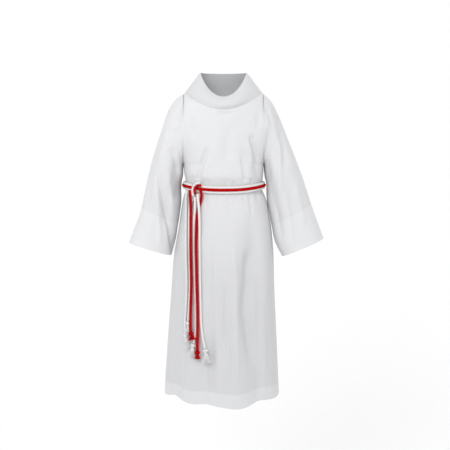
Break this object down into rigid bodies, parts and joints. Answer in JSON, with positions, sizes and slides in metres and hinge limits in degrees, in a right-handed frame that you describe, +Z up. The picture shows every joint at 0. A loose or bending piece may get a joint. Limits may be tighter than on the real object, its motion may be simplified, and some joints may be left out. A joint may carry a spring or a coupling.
{
  "type": "alb robe with cincture, worn",
  "caption": "Child's long white alb in its worn, hollow form, with a wide funnel collar, wide sleeves and a red and white cord cincture knotted at the hip.",
  "frame": {"origin": "between the wearer's shoulders, at the height where the collar is sewn on, where the wearer carries the garment", "axes": "+Z up, the front faces -Y, the wearer's left is +X"},
  "size_m": [0.662, 0.3283, 1.1132],
  "materials": {
    "cloth_white": "smooth plain weave with a faint satin sheen",
    "cord_white": "twisted cord, matte",
    "cord_red": "twisted cord, soft sheen"
  },
  "bodies": {
    "root": {"front_panel": "cloth_white", "back_panel": "cloth_white", "skirt_hem_front": "cloth_white", "skirt_hem_back": "cloth_white", "sleeve_right": "cloth_white", "sleeve_hem_right": "cloth_white", "sleeve_left": "cloth_white", "sleeve_hem_left": "cloth_white", "collar": "cloth_white", "waist_cord_upper": "cord_white", "waist_cord_lower": "cord_white", "knot_turn_white": "cord_white", "cord_end_white_1": "cord_white", "cord_end_white_2": "cord_white", "cord_end_white_3": "cord_white", "cord_end_white_4": "cord_white", "end_knot_white_1": "cord_white", "end_knot_white_2": "cord_white", "end_knot_white_3": "cord_white", "end_knot_white_4": "cord_white", "waist_cord_middle": "cord_red", "knot_turn_red": "cord_red", "cord_end_red_1": "cord_red", "cord_end_red_2": "cord_red", "end_knot_red_1": "cord_red", "end_knot_red_2": "cord_red"}
  },
  "joints": []
}
